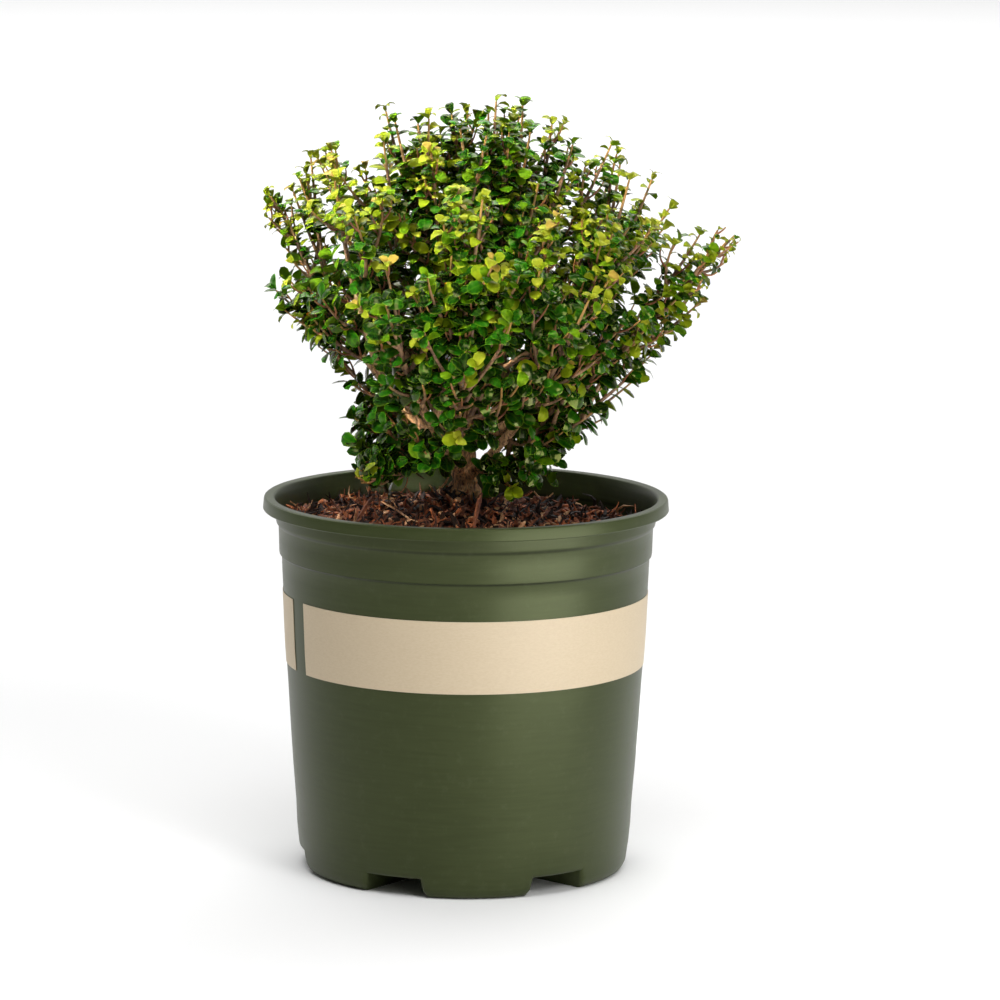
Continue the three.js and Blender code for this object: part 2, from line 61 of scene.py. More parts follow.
# Pot
# A moulded polypropylene tub, satin olive green, with a turned-over lip, two shallow steps under
# it, and six feet with channels between them. Its section is drawn out ring by ring.
POT_SIDES = 144
POT_HEIGHT = 218
HUB_RADIUS = 19
CHANNEL_TOP = 11.2
FEET = 6
FOOT_TURN = 360 / FEET
FOOT_RADIUS = 96.4
FOOT_BEARING = 5.3
FOOT_ANGLE = 40
FOOT_INNER = 60
FOOT_RINGS = [
    {"level": 4, "radius": 95.6, "pinch": 0.955},
    {"level": 0, "radius": 92.8, "pinch": 0.94},
]
FOOT_BEVEL = 2.8
DRAIN_RADIUS = 4.5
DRAIN_PLACE = 80
DRILL_DEPTH = 8
OUTER_WALL = [
    (96.4, 11.2), (97.8, 26), (98.3, 38), (100.2, 62), (101.8, 86), (103.2, 110), (104.8, 133),
    (106.1, 163), (106.7, 175), (107.0, 183.4), (107.5, 184.3), (108.3, 185), (108.5, 186.2),
    (108.7, 194), (108.9, 201), (109.3, 202), (110.1, 203), (110.4, 204.4), (110.6, 210),
    (111.2, 214), (113, 216.1), (115.2, 215.6), (115.9, 214), (116.1, 211.4), (116.6, 210.9),
    (117.6, 210.9), (117.95, 211.4), (117.8, 213), (117.5, 216.6), (117.2, 217.5), (116.5, 218),
    (112.4, 218), (111.6, 217.6), (111.1, 216.8), (110.1, 213), (109.0, 207),
]
INNER_RINGS = [(108.9 - 0.11 * i - 0.3 * (i % 2), 206 - 1.4 * i) for i in range(14)]
INNER_WALL = [*INNER_RINGS, (106.7, 186), (105.4, 183), (95.0, 15.6), (94.0, 15)]
# Heights of the two step creases, where a thin line of painted shade is laid into the colour.
STEP_CREASES = (184.4, 202.6)


class TurnedShell:
    """A ring of edges that is drawn out, ring after ring, into a turned shell."""

    def __init__(self, name, sides, radius, height, turn=0.0):
        bpy.ops.object.select_all(action="DESELECT")
        bpy.ops.mesh.primitive_circle_add(
            vertices=sides,
            radius=radius * MM,
            location=(0, 0, height * MM),
            rotation=(0, 0, math.radians(turn)),
        )
        self.piece = bpy.context.object
        self.piece.name = self.piece.data.name = name
        bpy.ops.object.transform_apply(location=True, rotation=True)
        bpy.ops.object.mode_set(mode="EDIT")
        bpy.ops.mesh.select_mode(type="VERT")
        bpy.ops.mesh.select_all(action="SELECT")
        self.radius = radius
        self.height = height

    def draw_to(self, radius, height):
        share = radius / self.radius
        bpy.ops.mesh.extrude_region_move()
        bpy.ops.transform.resize(value=(share, share, 1), center_override=(0, 0, 0))
        bpy.ops.transform.translate(value=(0, 0, (height - self.height) * MM))
        self.radius = radius
        self.height = height


def bearing_of(place):
    return math.degrees(math.atan2(place.x, -place.y))


def off_bearing(place, bearing):
    return abs((bearing_of(place) - bearing + 180) % 360 - 180)


def at_bearing(bearing, radius, height):
    angle = math.radians(bearing)
    return Vector((math.sin(angle) * radius, -math.cos(angle) * radius, height)) * MM


def choose(piece, kind, test):
    """Selects the corners, edges or faces of the piece in edit mode that pass the test."""
    bpy.ops.mesh.select_mode(type=kind)
    bpy.ops.mesh.select_all(action="DESELECT")
    mesh = bmesh.from_edit_mesh(piece.data)
    for part in {"VERT": mesh.verts, "EDGE": mesh.edges, "FACE": mesh.faces}[kind]:
        if test(part):
            part.select_set(True)
    bmesh.update_edit_mesh(piece.data)


shell = TurnedShell("nursery_pot", POT_SIDES, HUB_RADIUS, CHANNEL_TOP, turn=0.3)
pot = shell.piece
for radius, height in OUTER_WALL + INNER_WALL:
    shell.draw_to(radius, height)
bpy.ops.mesh.edge_face_add()
choose(pot, "VERT", lambda v: v.co.xy.length < (HUB_RADIUS + 1) * MM and v.co.z < 14 * MM)
bpy.ops.mesh.edge_face_add()
bpy.ops.mesh.select_all(action="SELECT")
bpy.ops.mesh.normals_make_consistent(inside=False)


def under_a_foot(face):
    middle = face.calc_center_median()
    if abs(middle.z - CHANNEL_TOP * MM) > 0.1 * MM or middle.xy.length > FOOT_RADIUS * MM:
        return False
    nearest = min(off_bearing(middle, FOOT_BEARING + FOOT_TURN * i) for i in range(FEET))
    return middle.xy.length < 5 * MM or nearest < FOOT_ANGLE / 2


def at_level(corner, level):
    return abs(corner.co.z - level * MM) < 1e-6


choose(pot, "FACE", under_a_foot)
rim = FOOT_RADIUS
for foot in FOOT_RINGS:
    level = foot["level"]
    radius = foot["radius"]
    pinch = foot["pinch"]
    above = min(v.co.z for v in bmesh.from_edit_mesh(pot.data).verts)
    bpy.ops.mesh.extrude_region_move()
    bpy.ops.transform.translate(value=(0, 0, level * MM - above))
    for i in range(FEET):
        bearing = FOOT_BEARING + FOOT_TURN * i
        foot_end = at_bearing(bearing, radius, level)
        choose(
            pot,
            "VERT",
            lambda v: at_level(v, level)
            and v.co.xy.length > FOOT_INNER * MM
            and off_bearing(v.co, bearing) < FOOT_ANGLE / 2 + 1,
        )
        share = radius / rim
        bpy.ops.transform.resize(value=(share, share, 1), center_override=(0, 0, 0))
        bpy.ops.transform.resize(value=(pinch, pinch, 1), center_override=foot_end)
    choose(pot, "FACE", lambda f: all(at_level(v, level) for v in f.verts))
    rim = radius


def foot_corner(edge):
    if len(edge.link_faces) != 2 or edge.calc_face_angle() < math.radians(28):
        return False
    ends = [v.co for v in edge.verts]
    return all(p.z < CHANNEL_TOP * MM + 1e-5 and p.xy.length > FOOT_INNER * MM for p in ends)


choose(pot, "EDGE", foot_corner)
bpy.ops.mesh.bevel(offset=FOOT_BEVEL * MM, segments=4, affect="EDGES", clamp_overlap=True)
bpy.ops.mesh.select_all(action="SELECT")
bpy.ops.mesh.normals_make_consistent(inside=False)
bpy.ops.object.mode_set(mode="OBJECT")

for i in range(FEET):
    place = at_bearing(FOOT_BEARING + FOOT_TURN * i + FOOT_TURN / 2, DRAIN_PLACE, CHANNEL_TOP + 1)
    bpy.ops.object.select_all(action="DESELECT")
    bpy.ops.mesh.primitive_cylinder_add(
        vertices=24, radius=DRAIN_RADIUS * MM, depth=DRILL_DEPTH * MM, location=place
    )
    drill = bpy.context.object
    bpy.context.view_layer.objects.active = pot
    hole = pot.modifiers.new("drain hole", "BOOLEAN")
    hole.object = drill
    hole.solver = "EXACT"
    bpy.ops.object.modifier_apply(modifier=hole.name)
    bpy.data.objects.remove(drill)
pot.select_set(True)
bpy.ops.object.shade_smooth_by_angle(angle=math.radians(32))


class Shade:
    """One socket of a material, so that shader maths reads as ordinary sums."""

    def __init__(self, tree, socket):
        self.tree = tree
        self.socket = socket

    def node(self, kind, settings=None, out=0, **sockets):
        made = self.tree.nodes.new(kind)
        for key, value in (settings or {}).items():
            setattr(made, key, value)
        for key, value in sockets.items():
            name = key.replace("_", " ")
            socket = made.inputs[int(key[1:])] if key[1:].isdigit() else made.inputs[name]
            if isinstance(value, Shade):
                self.tree.links.new(value.socket, socket)
            else:
                socket.default_value = value
        return Shade(self.tree, made.outputs[out] if made.outputs else None)

    def maths(self, operation, first, second):
        return self.node("ShaderNodeMath", {"operation": operation}, _0=first, _1=second)

    def __add__(self, other):
        return self.maths("ADD", self, other)

    def __radd__(self, other):
        return self.maths("ADD", other, self)

    def __sub__(self, other):
        return self.maths("SUBTRACT", self, other)

    def __rsub__(self, other):
        return self.maths("SUBTRACT", other, self)

    def __mul__(self, other):
        return self.maths("MULTIPLY", self, other)

    def __rmul__(self, other):
        return self.maths("MULTIPLY", other, self)

    def between(self, low, high):
        """Runs from 0 to 1 as this value runs from low to high."""
        span = {"clamp": True, "interpolation_type": "SMOOTHSTEP"}
        return self.node("ShaderNodeMapRange", span, Value=self, _1=low, _2=high)

    def blend(self, first, second):
        """The first colour where this value is 0, and the second where it is 1."""
        settings = {"data_type": "RGBA", "clamp_factor": True}
        return self.node("ShaderNodeMix", settings, out=2, _0=self, _6=first, _7=second)

    def stretched(self, x, y, z):
        return self.node("ShaderNodeMapping", Vector=self, Scale=(x, y, z))

    def clouds(self, size, detail=3, roughness=0.5):
        """Soft noise whose patches are about this many millimetres wide."""
        return self.node(
            "ShaderNodeTexNoise", Vector=self, Scale=1000 / size, Detail=detail, Roughness=roughness
        )


def rgb(red, green, blue):
    """A colour given as on a screen, from 0 to 255, as the light that it reflects."""
    screen = (red, green, blue)
    light = [((c / 255 + 0.055) / 1.055) ** 2.4 if c > 10 else c / 3294 for c in screen]
    return (*light, 1)


def new_finish(name):
    """A new material, and the place on the object as its first socket."""
    material = bpy.data.materials.new(name)
    material.use_nodes = True
    material.node_tree.nodes.clear()
    seed = Shade(material.node_tree, None)
    return material, seed.node("ShaderNodeTexCoord", out=3)


def surface(place, **sockets):
    """Closes a material with a main shader that has these sockets."""
    shader = place.node("ShaderNodeBsdfPrincipled", **sockets)
    place.node("ShaderNodeOutputMaterial", Surface=shader)


def bumped(place, height, depth):
    """A normal that is pushed about by a height field, its depth in millimetres."""
    return place.node("ShaderNodeBump", Height=height, Distance=depth * MM, Strength=1.0)


OLIVE = (rgb(48, 55, 30), rgb(53, 60, 34))
# Painted shade: the dark colour laid along the step creases, standing in for the shade under each
# overhang.
PAINTED_CREASE_SHADE = rgb(30, 35, 18)
DUST_TONE = rgb(110, 112, 90)

olive_plastic, place = new_finish("olive plastic")
flow = place.stretched(1, 1, 14).clouds(26, 4)
patches = place.clouds(60, 2)
grain = place.clouds(0.9, 2)
dust = place.clouds(7, 6, 0.7).between(0.52, 0.75)
tone = (0.6 * flow + 0.4 * patches).between(0.35, 0.65)
green = tone.blend(*OLIVE)
height_mm = place.node("ShaderNodeSeparateXYZ", out=2, Vector=place) * 1000.0
# Painted shade: a dark band of colour about a millimetre wide at each step crease.
for crease in STEP_CREASES:
    gap = height_mm - crease
    green = gap.maths("ABSOLUTE", gap, 0.0).between(0.2, 1.3).blend(PAINTED_CREASE_SHADE, green)
surface(
    place,
    Base_Color=(0.08 * dust).blend(green, DUST_TONE),
    Roughness=0.34 + 0.06 * flow + 0.06 * dust,
    Specular_IOR_Level=0.3,
    Specular_Tint=(0.92, 1.0, 0.6, 1),
    Normal=bumped(place, grain + 1.5 * flow, 0.02),
)
pot.data.materials.append(olive_plastic)
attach(pot, "root")
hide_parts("pot")

# Label band
# A thin beige film bonded round the wall, 42 mm tall, with a short gap between its two ends. It
# bears no print. It is cut from a ring, drawn up along the taper and given its thickness.
LABEL_LOW = 121.3
LABEL_HIGH = 163.2
LABEL_STEPS = 8
LABEL_SIDES = 400
LABEL_LIFT = 0.12
LABEL_THICK = 0.25
PLAIN_WALL = OUTER_WALL[:9]
GAP_BEARING = -64.5
GAP_ANGLE = 8.1


def wall_radius(height):
    return float(np.interp(height, [h for _, h in PLAIN_WALL], [r for r, _ in PLAIN_WALL]))


ring = TurnedShell(
    "label_band",
    LABEL_SIDES,
    wall_radius(LABEL_LOW) + LABEL_LIFT,
    LABEL_LOW,
    turn=GAP_BEARING + GAP_ANGLE / 2,
)
label = ring.piece
choose(label, "VERT", lambda v: off_bearing(v.co, GAP_BEARING) < GAP_ANGLE / 2 - 0.05)
bpy.ops.mesh.delete(type="VERT")
bpy.ops.mesh.select_all(action="SELECT")
for i in range(1, LABEL_STEPS + 1):
    height = LABEL_LOW + (LABEL_HIGH - LABEL_LOW) * i / LABEL_STEPS
    ring.draw_to(wall_radius(height) + LABEL_LIFT, height)
bpy.ops.mesh.select_all(action="SELECT")
bpy.ops.mesh.normals_make_consistent(inside=False)
bpy.ops.object.mode_set(mode="OBJECT")
if label.data.polygons[0].normal.dot(label.data.polygons[0].center) < 0:
    label.data.flip_normals()
film = label.modifiers.new("film", "SOLIDIFY")
film.thickness = LABEL_THICK * MM
film.offset = 1
bpy.ops.object.modifier_apply(modifier=film.name)
bpy.ops.object.shade_smooth_by_angle(angle=math.radians(40))

beige_film, place = new_finish("beige film")
fibres = place.stretched(1, 1, 3).clouds(2.2, 5, 0.65)
bubbles = place.clouds(9, 3).between(0.6, 0.74)
surface(
    place,
    Base_Color=fibres.between(0.3, 0.7).blend(rgb(200, 182, 153), rgb(206, 189, 161)),
    Roughness=0.42 + 0.12 * fibres,
    Specular_IOR_Level=0.2,
    Normal=bumped(place, 0.4 * fibres + bubbles, 0.03),
)
label.data.materials.append(beige_film)
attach(label, "root")
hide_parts("label_band")

# Potting mix
# Dark, damp compost and fine bark that fills the pot and rises to a low mound round the trunk.
# A ring is drawn in to its middle, and every corner of the top is raised to the mound's level.
TRUNK_FOOT = Vector((-1.5, 10, 214))
TRUNK_TOP = Vector((-4, 11, 252))
MIX_EDGE = 202.5
MIX_TILT = 2.5
TILT_BEARING = -70
MOUND_PEAK = 215.5
MOUND_RADIUS = 42
MIX_LUMP = 1.3
MIX_RADIUS = 106.6
MIX_REACH = 107.4
MIX_TOP = 200
MIX_WALL = [
    (94, 16), (94.5, 20), (104.5, 180), (MIX_RADIUS - 1, MIX_TOP - 4), (MIX_RADIUS, MIX_TOP),
]
MIX_SIDES = 96
MIX_RINGS = 36
SHRED_DEPTH = 4.2


def mix_level(x, y):
    """The height of the mix at a place, all in millimetres."""
    outward = min(1, math.hypot(x, y) / MIX_REACH)
    turn = math.atan2(x, -y) - math.radians(TILT_BEARING)
    edge = MIX_EDGE + MIX_TILT * outward * math.cos(turn)
    away = math.hypot(x - TRUNK_FOOT.x, y - TRUNK_FOOT.y) / MOUND_RADIUS
    rise = min(1, max(0, 1 - away))
    rise = rise * rise * (3 - 2 * rise)
    lumps = math.sin(x * 0.19 + 1.3) * math.cos(y * 0.23) + math.sin(x * 0.37 - y * 0.31)
    return edge + (MOUND_PEAK - edge) * rise + MIX_LUMP * 0.5 * lumps


heap = TurnedShell("potting_mix", MIX_SIDES, *MIX_WALL[0])
mix = heap.piece
for radius, height in MIX_WALL[1:]:
    heap.draw_to(radius, height)
for i in range(1, MIX_RINGS):
    heap.draw_to(MIX_RADIUS * (1 - i / MIX_RINGS), MIX_TOP)
bpy.ops.mesh.edge_face_add()
choose(mix, "VERT", lambda v: v.co.z < 17 * MM)
bpy.ops.mesh.edge_face_add()
bpy.ops.mesh.select_all(action="SELECT")
bpy.ops.mesh.normals_make_consistent(inside=False)
bpy.ops.object.mode_set(mode="OBJECT")
for corner in mix.data.vertices:
    if corner.co.z > (MIX_TOP - 1) * MM:
        x, y = corner.co.x / MM, corner.co.y / MM
        clods = noise.noise(Vector((x, y, 0)) * 0.32) * 1.3
        crumbs = clods + noise.noise(Vector((x, y, 9)) * 0.9) * 0.7
        corner.co.z = (mix_level(x, y) - SHRED_DEPTH + crumbs) * MM
bpy.ops.object.shade_smooth_by_angle(angle=math.radians(60))

damp_compost, place = new_finish("damp compost")
crumbs = place.clouds(2.5, 8, 0.7)
flecks = place.clouds(1.2, 4, 0.6).between(0.62, 0.72)
soil = crumbs.between(0.3, 0.75).blend(rgb(10, 6, 4), rgb(44, 25, 16))
surface(
    place,
    Base_Color=flecks.blend(soil, rgb(104, 66, 44)),
    Roughness=0.7 + 0.2 * crumbs,
    Specular_IOR_Level=0.2,
    Normal=bumped(place, crumbs, 2.0),
)
mix.data.materials.append(damp_compost)
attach(mix, "root")
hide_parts("potting_mix")

# Bark shreds
# Shredded conifer bark lies loose on the mix: flat fibrous strips, chips and thin fibres, from
# orange to almost black. Each is a bent and twisted sliver, and those of one tone are one piece.
SHRED_TONES = {
    "rust": (430, rgb(190, 110, 68), rgb(84, 41, 25)),
    "chestnut": (680, rgb(134, 80, 54), rgb(52, 29, 20)),
    "umber": (900, rgb(42, 26, 18), rgb(13, 8, 6)),
    "straw": (210, rgb(232, 182, 134), rgb(146, 98, 62)),
}
FINDS = {
    "chestnut": [
        ((6.5, -32, 214.5), 24, 2.2, 1.6, 1.25, -0.94, 0.08, 0.5),
        ((-59, -12, 211.5), 19, 2.4, 1.8, 0.1, -1.02, 0.1, 0.3),
    ],
    "umber": [((-90, 10, 208), 8, 2.6, 1.2, 0.3, -1.35, 0.1, 0.4)],
    "straw": [((-40, -2, 209.4), 38, 1.2, 1.0, -1.03, 0.17, 0.08, 0.6)],
}
FIBRE = {"length": (6, 20), "width": (0.5, 1.2)}
CHIP = {"length": (4, 13), "width": (1.4, 3.6)}
FIBRE_SHARE = 0.36
TIPPED_SHARE = 0.35
SHRED_REACH = 105
WALL_REACH = 106.3
FOOT_CHIPS = 28
TONE_TURN = 90
GOLDEN = 137.508


class Seeded:
    """A small generator of even random numbers, the same on every run."""

    def __init__(self, seed):
        self.state = seed

    def __call__(self, low=0.0, high=1.0):
        self.state = (self.state * 1664525 + 1013904223) % 4294967296
        return low + (high - low) * self.state / 4294967296


def joined(name, corners, faces, smooth=None):
    """One mesh object from an array of corners, in millimetres, and an array of triangles."""
    mesh = bpy.data.meshes.new(name)
    mesh.from_pydata((np.asarray(corners) * MM).tolist(), [], np.asarray(faces).tolist())
    mesh.validate()
    piece = bpy.data.objects.new(name, mesh)
    bpy.context.scene.collection.objects.link(piece)
    bpy.ops.object.select_all(action="DESELECT")
    piece.select_set(True)
    bpy.context.view_layer.objects.active = piece
    if smooth is not None:
        bpy.ops.object.shade_smooth_by_angle(angle=math.radians(smooth))
    return piece


def sliver_shape(stations):
    """The faces of a closed four-sided sliver whose section is given at a few stations."""
    faces = [(0, 2, 1), (0, 3, 2)]
    for i in range(stations - 1):
        a, b = 4 * i, 4 * (i + 1)
        for j in range(4):
            k = (j + 1) % 4
            faces += [(a + j, a + k, b + k), (a + j, b + k, b + j)]
    end = 4 * (stations - 1)
    return np.array(faces + [(end, end + 1, end + 2), (end, end + 2, end + 3)])


def sliver(place, length, width, thick, turn, pitch, bend, twist, random):
    """The corners of one sliver: 5 stations of 4 corners."""
    rows = []
    for i in range(5):
        u = i / 4 - 0.5
        taper = 1 - (2 * abs(u)) ** 3 * 0.75
        w = 0.5 * width * taper * random(0.8, 1.2)
        t = 0.5 * thick * (0.6 + 0.4 * taper)
        c, s = math.cos(twist * u), math.sin(twist * u)
        x = u * length
        z = -bend * (2 * u) ** 2 * length * 0.25
        for p, q in ((-w, -t), (w, -t), (w, t), (-w, t)):
            rows.append((x, p * c - q * s, z + p * s + q * c))
    shape = np.array(rows)
    roll = Matrix.Rotation(random(-0.7, 0.7), 3, "X")
    spin = Matrix.Rotation(turn, 3, "Z") @ Matrix.Rotation(pitch, 3, "Y") @ roll
    return shape @ np.array(spin).T + np.array(place)


random = Seeded(77)
sliver_faces = sliver_shape(5)
shreds = []
for tone, (count, light, dark) in SHRED_TONES.items():
    corners = []
    for i in range(count):
        reach = SHRED_REACH * math.sqrt((i + random()) / count)
        bearing = GOLDEN * i + TONE_TURN * len(shreds) + random(-9, 9)
        x, y = (at_bearing(bearing, reach, 0) / MM).xy
        form = FIBRE if random() < FIBRE_SHARE else CHIP
        length = random(*form["length"])
        width = random(*form["width"])
        pitch = random(-0.5, 0.5) + (random(-0.8, 0.8) if random() < TIPPED_SHARE else 0)
        reach_in = WALL_REACH - 0.5 * length
        if reach > reach_in:
            x, y = x * reach_in / reach, y * reach_in / reach
        z = mix_level(x, y) + random(-3.4, 1.6) + abs(math.sin(pitch)) * length * 0.28
        corners.append(
            sliver(
                (x, y, z), length, width, random(0.45, 1.5), random(0, math.pi), pitch,
                random(-1.6, 2.0), random(-2.4, 2.4), random,
            )
        )
    corners += [sliver(*find, random) for find in FINDS.get(tone, [])]
    for i in range(FOOT_CHIPS):
        spread = random()
        bearing = GOLDEN * i + TONE_TURN * len(shreds)
        x, y = (at_bearing(bearing, 8 + 15 * spread, 0) / MM + TRUNK_FOOT).xy
        rise = random(-1, 8) * (1 - spread)
        corners.append(
            sliver(
                (x, y, mix_level(x, y) + rise), random(5, 13), random(1.2, 3.4), random(0.6, 1.5),
                random(0, math.pi), random(-1.1, 1.1), random(-1.2, 1.6), random(-2, 2), random,
            )
        )
    faces = np.vstack([sliver_faces + 20 * i for i in range(len(corners))])
    piece = joined("shreds_" + tone, np.vstack(corners), faces, smooth=35)
    bark_tone, place = new_finish(tone + " shreds")
    streaks = place.clouds(1.1, 5, 0.65)
    patches = place.clouds(8, 2)
    shade = (0.5 * streaks + 0.5 * patches).between(0.35, 0.65)
    surface(
        place,
        Base_Color=shade.blend(dark, light),
        Roughness=0.56 + 0.2 * streaks,
        Specular_IOR_Level=0.25,
        Normal=bumped(place, streaks, 0.5),
    )
    piece.data.materials.append(bark_tone)
    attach(piece, "root")
    shreds.append(piece)

# Trunk and boughs
# A short trunk with tan, flaking bark forks low into stems, which fork again and rise to the
# foliage. Each limb is a tapering tube; they are grown together, and the bark's ridges raised.
STEMS = 6
CROWN_X = 4
CROWN_Y = 9
SWAY = 7
BOB = 8
OUTLINE = [
    (222, 52), (240, 64), (262, 70), (286, 87), (310, 107), (335, 120),
    (365, 123), (392, 112), (412, 98), (425, 80), (436, 58), (448, 32), (457, 24),
]
MID = {"bearing": -90, "height": 352, "low": 0.3, "high": 0.9, "radii": (3.3, 1.8)}
SIDES = {
    "low": {"bearing": -62, "height": 266, "from": 0.1, "radii": (2.2, 1.4)},
    "high": {"bearing": -58, "height": 412, "from": 0.34, "radii": (2.4, 1.4)},
}
LEADER_TIP = Vector((31, 10, 457))
TOPS = {"bearings": (-70, 172), "height": 440, "reach": 50, "from": 0.26, "radii": (2.4, 1.4)}
LONG_SHOOTS = {
    "low_1": (70, 234),
    "low_2": (94, 302),
    "mid_1": (117, 392),
    "mid_4": (149, 373),
}
LIMB_SHARE = 0.5
LIMB_SAG = 0.08
LEADER_RADII = (3.2, 1.7)
TRUNK_RADIUS = 6.2
TRUNK_FLARE = 6
WOOD_GRAIN = 0.62
OLD_WOOD_TOP = 225
OLD_WOOD_FADE = 90
UP = Vector((0, 0, 1))


class Line:
    """A smooth line through space, which is read by shares of its length. In millimetres."""

    def __init__(self, points):
        self.points = np.array([tuple(p) for p in points])
        steps = np.linalg.norm(np.diff(self.points, axis=0), axis=1)
        self.reach = np.concatenate([[0], np.cumsum(steps)])
        self.length = float(self.reach[-1])

    def at(self, share):
        where = min(1, max(0, share)) * self.length
        return Vector([float(np.interp(where, self.reach, self.points[:, k])) for k in range(3)])

    def along(self, share):
        return (self.at(min(1, share + 0.02)) - self.at(max(0, share - 0.02))).normalized()

    def part(self, low, high, steps=16):
        return Line([self.at(low + (high - low) * i / steps) for i in range(steps + 1)])

    def off(self, place):
        """How far each of its points is from a place."""
        return np.linalg.norm(self.points - place, axis=1)


def bowed(start, middle, end, steps=40):
    """A line that leaves start towards middle and arrives at end from there."""
    shares = [i / steps for i in range(steps + 1)]
    return Line([start * (1 - s) ** 2 + middle * (2 * s * (1 - s)) + end * s * s for s in shares])


trunk_line = bowed(TRUNK_FOOT, TRUNK_FOOT + UP * 0.45 * (TRUNK_TOP.z - TRUNK_FOOT.z), TRUNK_TOP)


def half_width(height):
    return float(np.interp(height, [h for h, _ in OUTLINE], [w for _, w in OUTLINE]))


def on_outline(bearing, height, reach=None):
    reach = half_width(height) if reach is None else reach
    return at_bearing(bearing, reach, 0) / MM + Vector((CROWN_X, CROWN_Y, height))


def bough_line(start, tip):
    length = (tip - start).length
    outward = Vector((tip.x - start.x, tip.y - start.y, 0))
    if outward.length > 1:
        outward.normalize()
    middle = start.lerp(tip, 0.5) + outward * LIMB_SAG * length - UP * LIMB_SAG * length
    return bowed(start, middle, tip)


random = Seeded(41)
limbs = {}


def add_limb(name, start, tip, radii):
    line = bough_line(start, tip)
    limbs[name] = {"line": line, "limb": line.part(0, LIMB_SHARE), "radii": radii}


def tip_of(name, i, kind):
    bearing = kind["bearing"] + 360 / STEMS * i + random(-1, 1) * SWAY
    height = kind["height"] + random(-1, 1) * BOB
    if name in LONG_SHOOTS:
        reach, height = LONG_SHOOTS[name]
        return on_outline(bearing, height, reach)
    return on_outline(bearing, height)


for i in range(STEMS):
    name = "mid_%d" % (i + 1)
    start = trunk_line.at(MID["low"] + (MID["high"] - MID["low"]) * ((i * 5 + 2) % STEMS) / STEMS)
    add_limb(name, start, tip_of(name, i, MID), MID["radii"])
for tier, side in SIDES.items():
    for i in range(STEMS):
        name = "%s_%d" % (tier, i + 1)
        start = limbs["mid_%d" % (i + 1)]["limb"].at(side["from"] / LIMB_SHARE)
        add_limb(name, start, tip_of(name, i, side), side["radii"])
add_limb("leader", trunk_line.at(0.96), LEADER_TIP, LEADER_RADII)
fork = limbs["leader"]["limb"].at(TOPS["from"] / LIMB_SHARE)
for i, bearing in enumerate(TOPS["bearings"]):
    end = on_outline(bearing, TOPS["height"], TOPS["reach"])
    add_limb("top_%d" % (i + 1), fork, end, TOPS["radii"])


def frame_at(line, share, turn):
    """The direction of a line, and one across it at an angle from level."""
    along = line.along(share)
    level = along.cross(UP)
    if level.length < 0.05:
        level = Vector((1, 0, 0))
    level.normalize()
    return along, Matrix.Rotation(math.radians(turn), 3, along) @ level


def tube(line, radius_at, sides, steps, shape=None):
    """The corners and triangles of a closed tube along a line."""
    rows = []
    across = None
    for i in range(steps + 1):
        share = i / steps
        along = line.along(share)
        if across is None:
            across = along.orthogonal().normalized()
        across = (across - along * across.dot(along)).normalized()
        other = along.cross(across)
        middle = line.at(share)
        radius = radius_at(share)
        for j in range(sides):
            angle = 2 * math.pi * j / sides
            c, s = math.cos(angle) * radius, math.sin(angle) * radius
            point = middle + across * c + other * s
            rows.append(shape(point, middle, share) if shape else point)
    faces = []
    for i in range(steps):
        for j in range(sides):
            a, b = i * sides + j, i * sides + (j + 1) % sides
            faces += [(a, b, b + sides), (a, b + sides, a + sides)]
    low, high = len(rows), len(rows) + 1
    rows += [line.at(0), line.at(1)]
    last = steps * sides
    for j in range(sides):
        k = (j + 1) % sides
        faces += [(low, k, j), (high, last + j, last + k)]
    return np.array([tuple(p) for p in rows]), np.array(faces)


def tapering(radii):
    """The radius of a tapering limb or shoot, by shares of its length."""
    thick, thin = radii
    return lambda share: thick + (thin - thick) * share


def trunk_radius(share):
    flare = max(0, 1 - share / 0.4) ** 2
    return TRUNK_RADIUS - share + TRUNK_FLARE * flare


def gnarled(point, middle, share):
    """Fluting and old knots on the trunk."""
    away = point - middle
    flute = 1 + 0.16 * math.cos(2 * math.atan2(away.x, away.y) + 3 * share + 0.6)
    knots = 1 + 0.46 * noise.noise(point * 0.16) + 0.26 * noise.noise(point * 0.4)
    return middle + away * flute * knots


def wavering(point, middle, share):
    away = point - middle
    swell = 1 + 0.2 * noise.noise(point * 0.12) + 0.12 * noise.noise(point * 0.4)
    return middle + away * swell


tubes = [tube(trunk_line, trunk_radius, 20, 24, gnarled)]
for data in limbs.values():
    stretch = data["line"].part(0, LIMB_SHARE + 0.02)
    tubes.append(tube(stretch, tapering(data["radii"]), 12, 30, wavering))


def stacked(parts):
    corners, faces, count = [], [], 0
    for points, triangles in parts:
        corners.append(points)
        faces.append(triangles + count)
        count += len(points)
    return np.vstack(corners), np.vstack(faces)


wood = joined("trunk_and_boughs", *stacked(tubes))
grown = wood.modifiers.new("grown together", "REMESH")
grown.mode = "VOXEL"
grown.voxel_size = WOOD_GRAIN * MM
bpy.ops.object.modifier_apply(modifier=grown.name)
softened = wood.modifiers.new("softened forks", "SMOOTH")
softened.factor = 0.5
softened.iterations = 3
bpy.ops.object.modifier_apply(modifier=softened.name)
normals = [v.normal.copy() for v in wood.data.vertices]
for corner, normal in zip(wood.data.vertices, normals):
    p = corner.co / MM
    old = max(0.25, 1 - max(0, p.z - OLD_WOOD_TOP) / OLD_WOOD_FADE)
    ridges = noise.noise(Vector((p.x * 0.9, p.y * 0.9, p.z * 0.22)))
    flakes = noise.noise(p * 0.7)
    corner.co += normal * MM * old * (0.6 * ridges + 0.35 * flakes)
bpy.ops.object.shade_smooth_by_angle(angle=math.radians(70))

